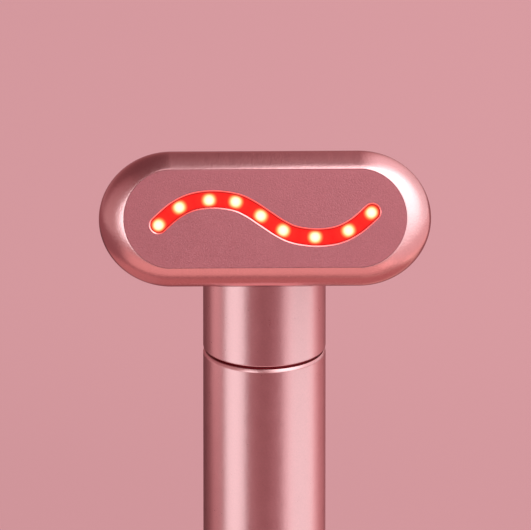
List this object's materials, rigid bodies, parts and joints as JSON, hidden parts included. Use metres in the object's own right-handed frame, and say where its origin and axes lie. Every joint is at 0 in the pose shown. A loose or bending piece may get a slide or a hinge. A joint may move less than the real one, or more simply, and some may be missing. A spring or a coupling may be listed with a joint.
{
  "type": "light therapy wand",
  "caption": "Slim hand-held light wand with a round handle, a front button, a swivelling neck and a flat oblong head with a lit wave-shaped window.",
  "frame": {"origin": "centre of the end cap's flat base, on the handle's axis", "axes": "+Z along the handle towards the head, -Y out of the button and the treatment face, +X to the right of someone who looks at the face"},
  "size_m": [0.0472, 0.0203, 0.149],
  "materials": {
    "satin_metal": "satin rose anodised",
    "blasted_plate": "fine blasted, rose anodised",
    "lit_window": "clear red, lit from behind",
    "led_body": "warm white lens",
    "circuit_board": "green solder mask",
    "black_plastic": "matt",
    "inner_plastic": "matt",
    "soft_rubber": "matt",
    "plain_steel": "plain",
    "bright_nickel": "bright nickel",
    "brass": "plain",
    "slip_ring": "natural acetal",
    "cell_wrap": "plastic sleeve on a cell",
    "heater_film": "amber film",
    "clear_plastic": "clear"
  },
  "bodies": {
    "handle": {"handle_tube": "satin_metal", "end_cap": "satin_metal", "end_cap_seal": "soft_rubber", "end_cap_screw": "plain_steel", "chassis": "inner_plastic", "main_board": "circuit_board", "board_screw_lower": "plain_steel", "board_screw_upper": "plain_steel", "battery_cell": "cell_wrap", "battery_tab_negative": "bright_nickel", "battery_tab_positive": "bright_nickel", "controller_chip": "black_plastic", "charger_chip": "black_plastic", "power_inductor": "black_plastic", "board_connector": "inner_plastic", "usb_socket": "plain_steel", "usb_tongue": "black_plastic", "button_trim_ring": "satin_metal", "switch_body": "black_plastic", "status_led": "led_body", "status_light_pipe": "clear_plastic", "swivel_bushing": "slip_ring"},
    "button": {"power_button": "satin_metal", "switch_plunger": "inner_plastic"},
    "head": {"neck_housing": "satin_metal", "swivel_sleeve": "plain_steel", "sleeve_screw_left": "plain_steel", "sleeve_screw_right": "plain_steel", "retaining_clip": "plain_steel", "friction_ring": "slip_ring", "stop_pin": "plain_steel", "head_harness": "black_plastic", "head_bezel": "satin_metal", "head_seal": "soft_rubber", "head_shell": "satin_metal", "face_plate": "blasted_plate", "light_window": "lit_window", "heater_film": "heater_film", "plate_contact_pin": "brass", "led_board": "circuit_board", "led_board_screw_left": "plain_steel", "led_board_screw_right": "plain_steel", "led_1": "led_body", "led_2": "led_body", "led_3": "led_body", "led_4": "led_body", "led_5": "led_body", "led_6": "led_body", "led_7": "led_body", "led_8": "led_body", "led_9": "led_body", "neck_screw_left": "plain_steel", "neck_screw_right": "plain_steel", "motor_can": "plain_steel", "motor_strap": "bright_nickel"},
    "motor_rotor": {"motor_shaft": "plain_steel", "eccentric_weight": "brass"}
  },
  "joints": [
    {"name": "head_swivel", "type": "hinge", "parent": "handle", "child": "head", "pos_m": [0, 0, 0.11818], "axis": [0, 0, 1], "range_deg": [-90, 90]},
    {"name": "button_press", "type": "slide", "parent": "handle", "child": "button", "axis": [0, 1, 0], "range_m": [0, 0.0004], "stiffness_N_per_m": 2000, "springref_m": -0.0003},
    {"name": "motor_spin", "type": "hinge", "parent": "head", "child": "motor_rotor", "pos_m": [0.0136, -0.0015, 0.14145], "axis": [1, 0, 0], "continuous": true}
  ]
}
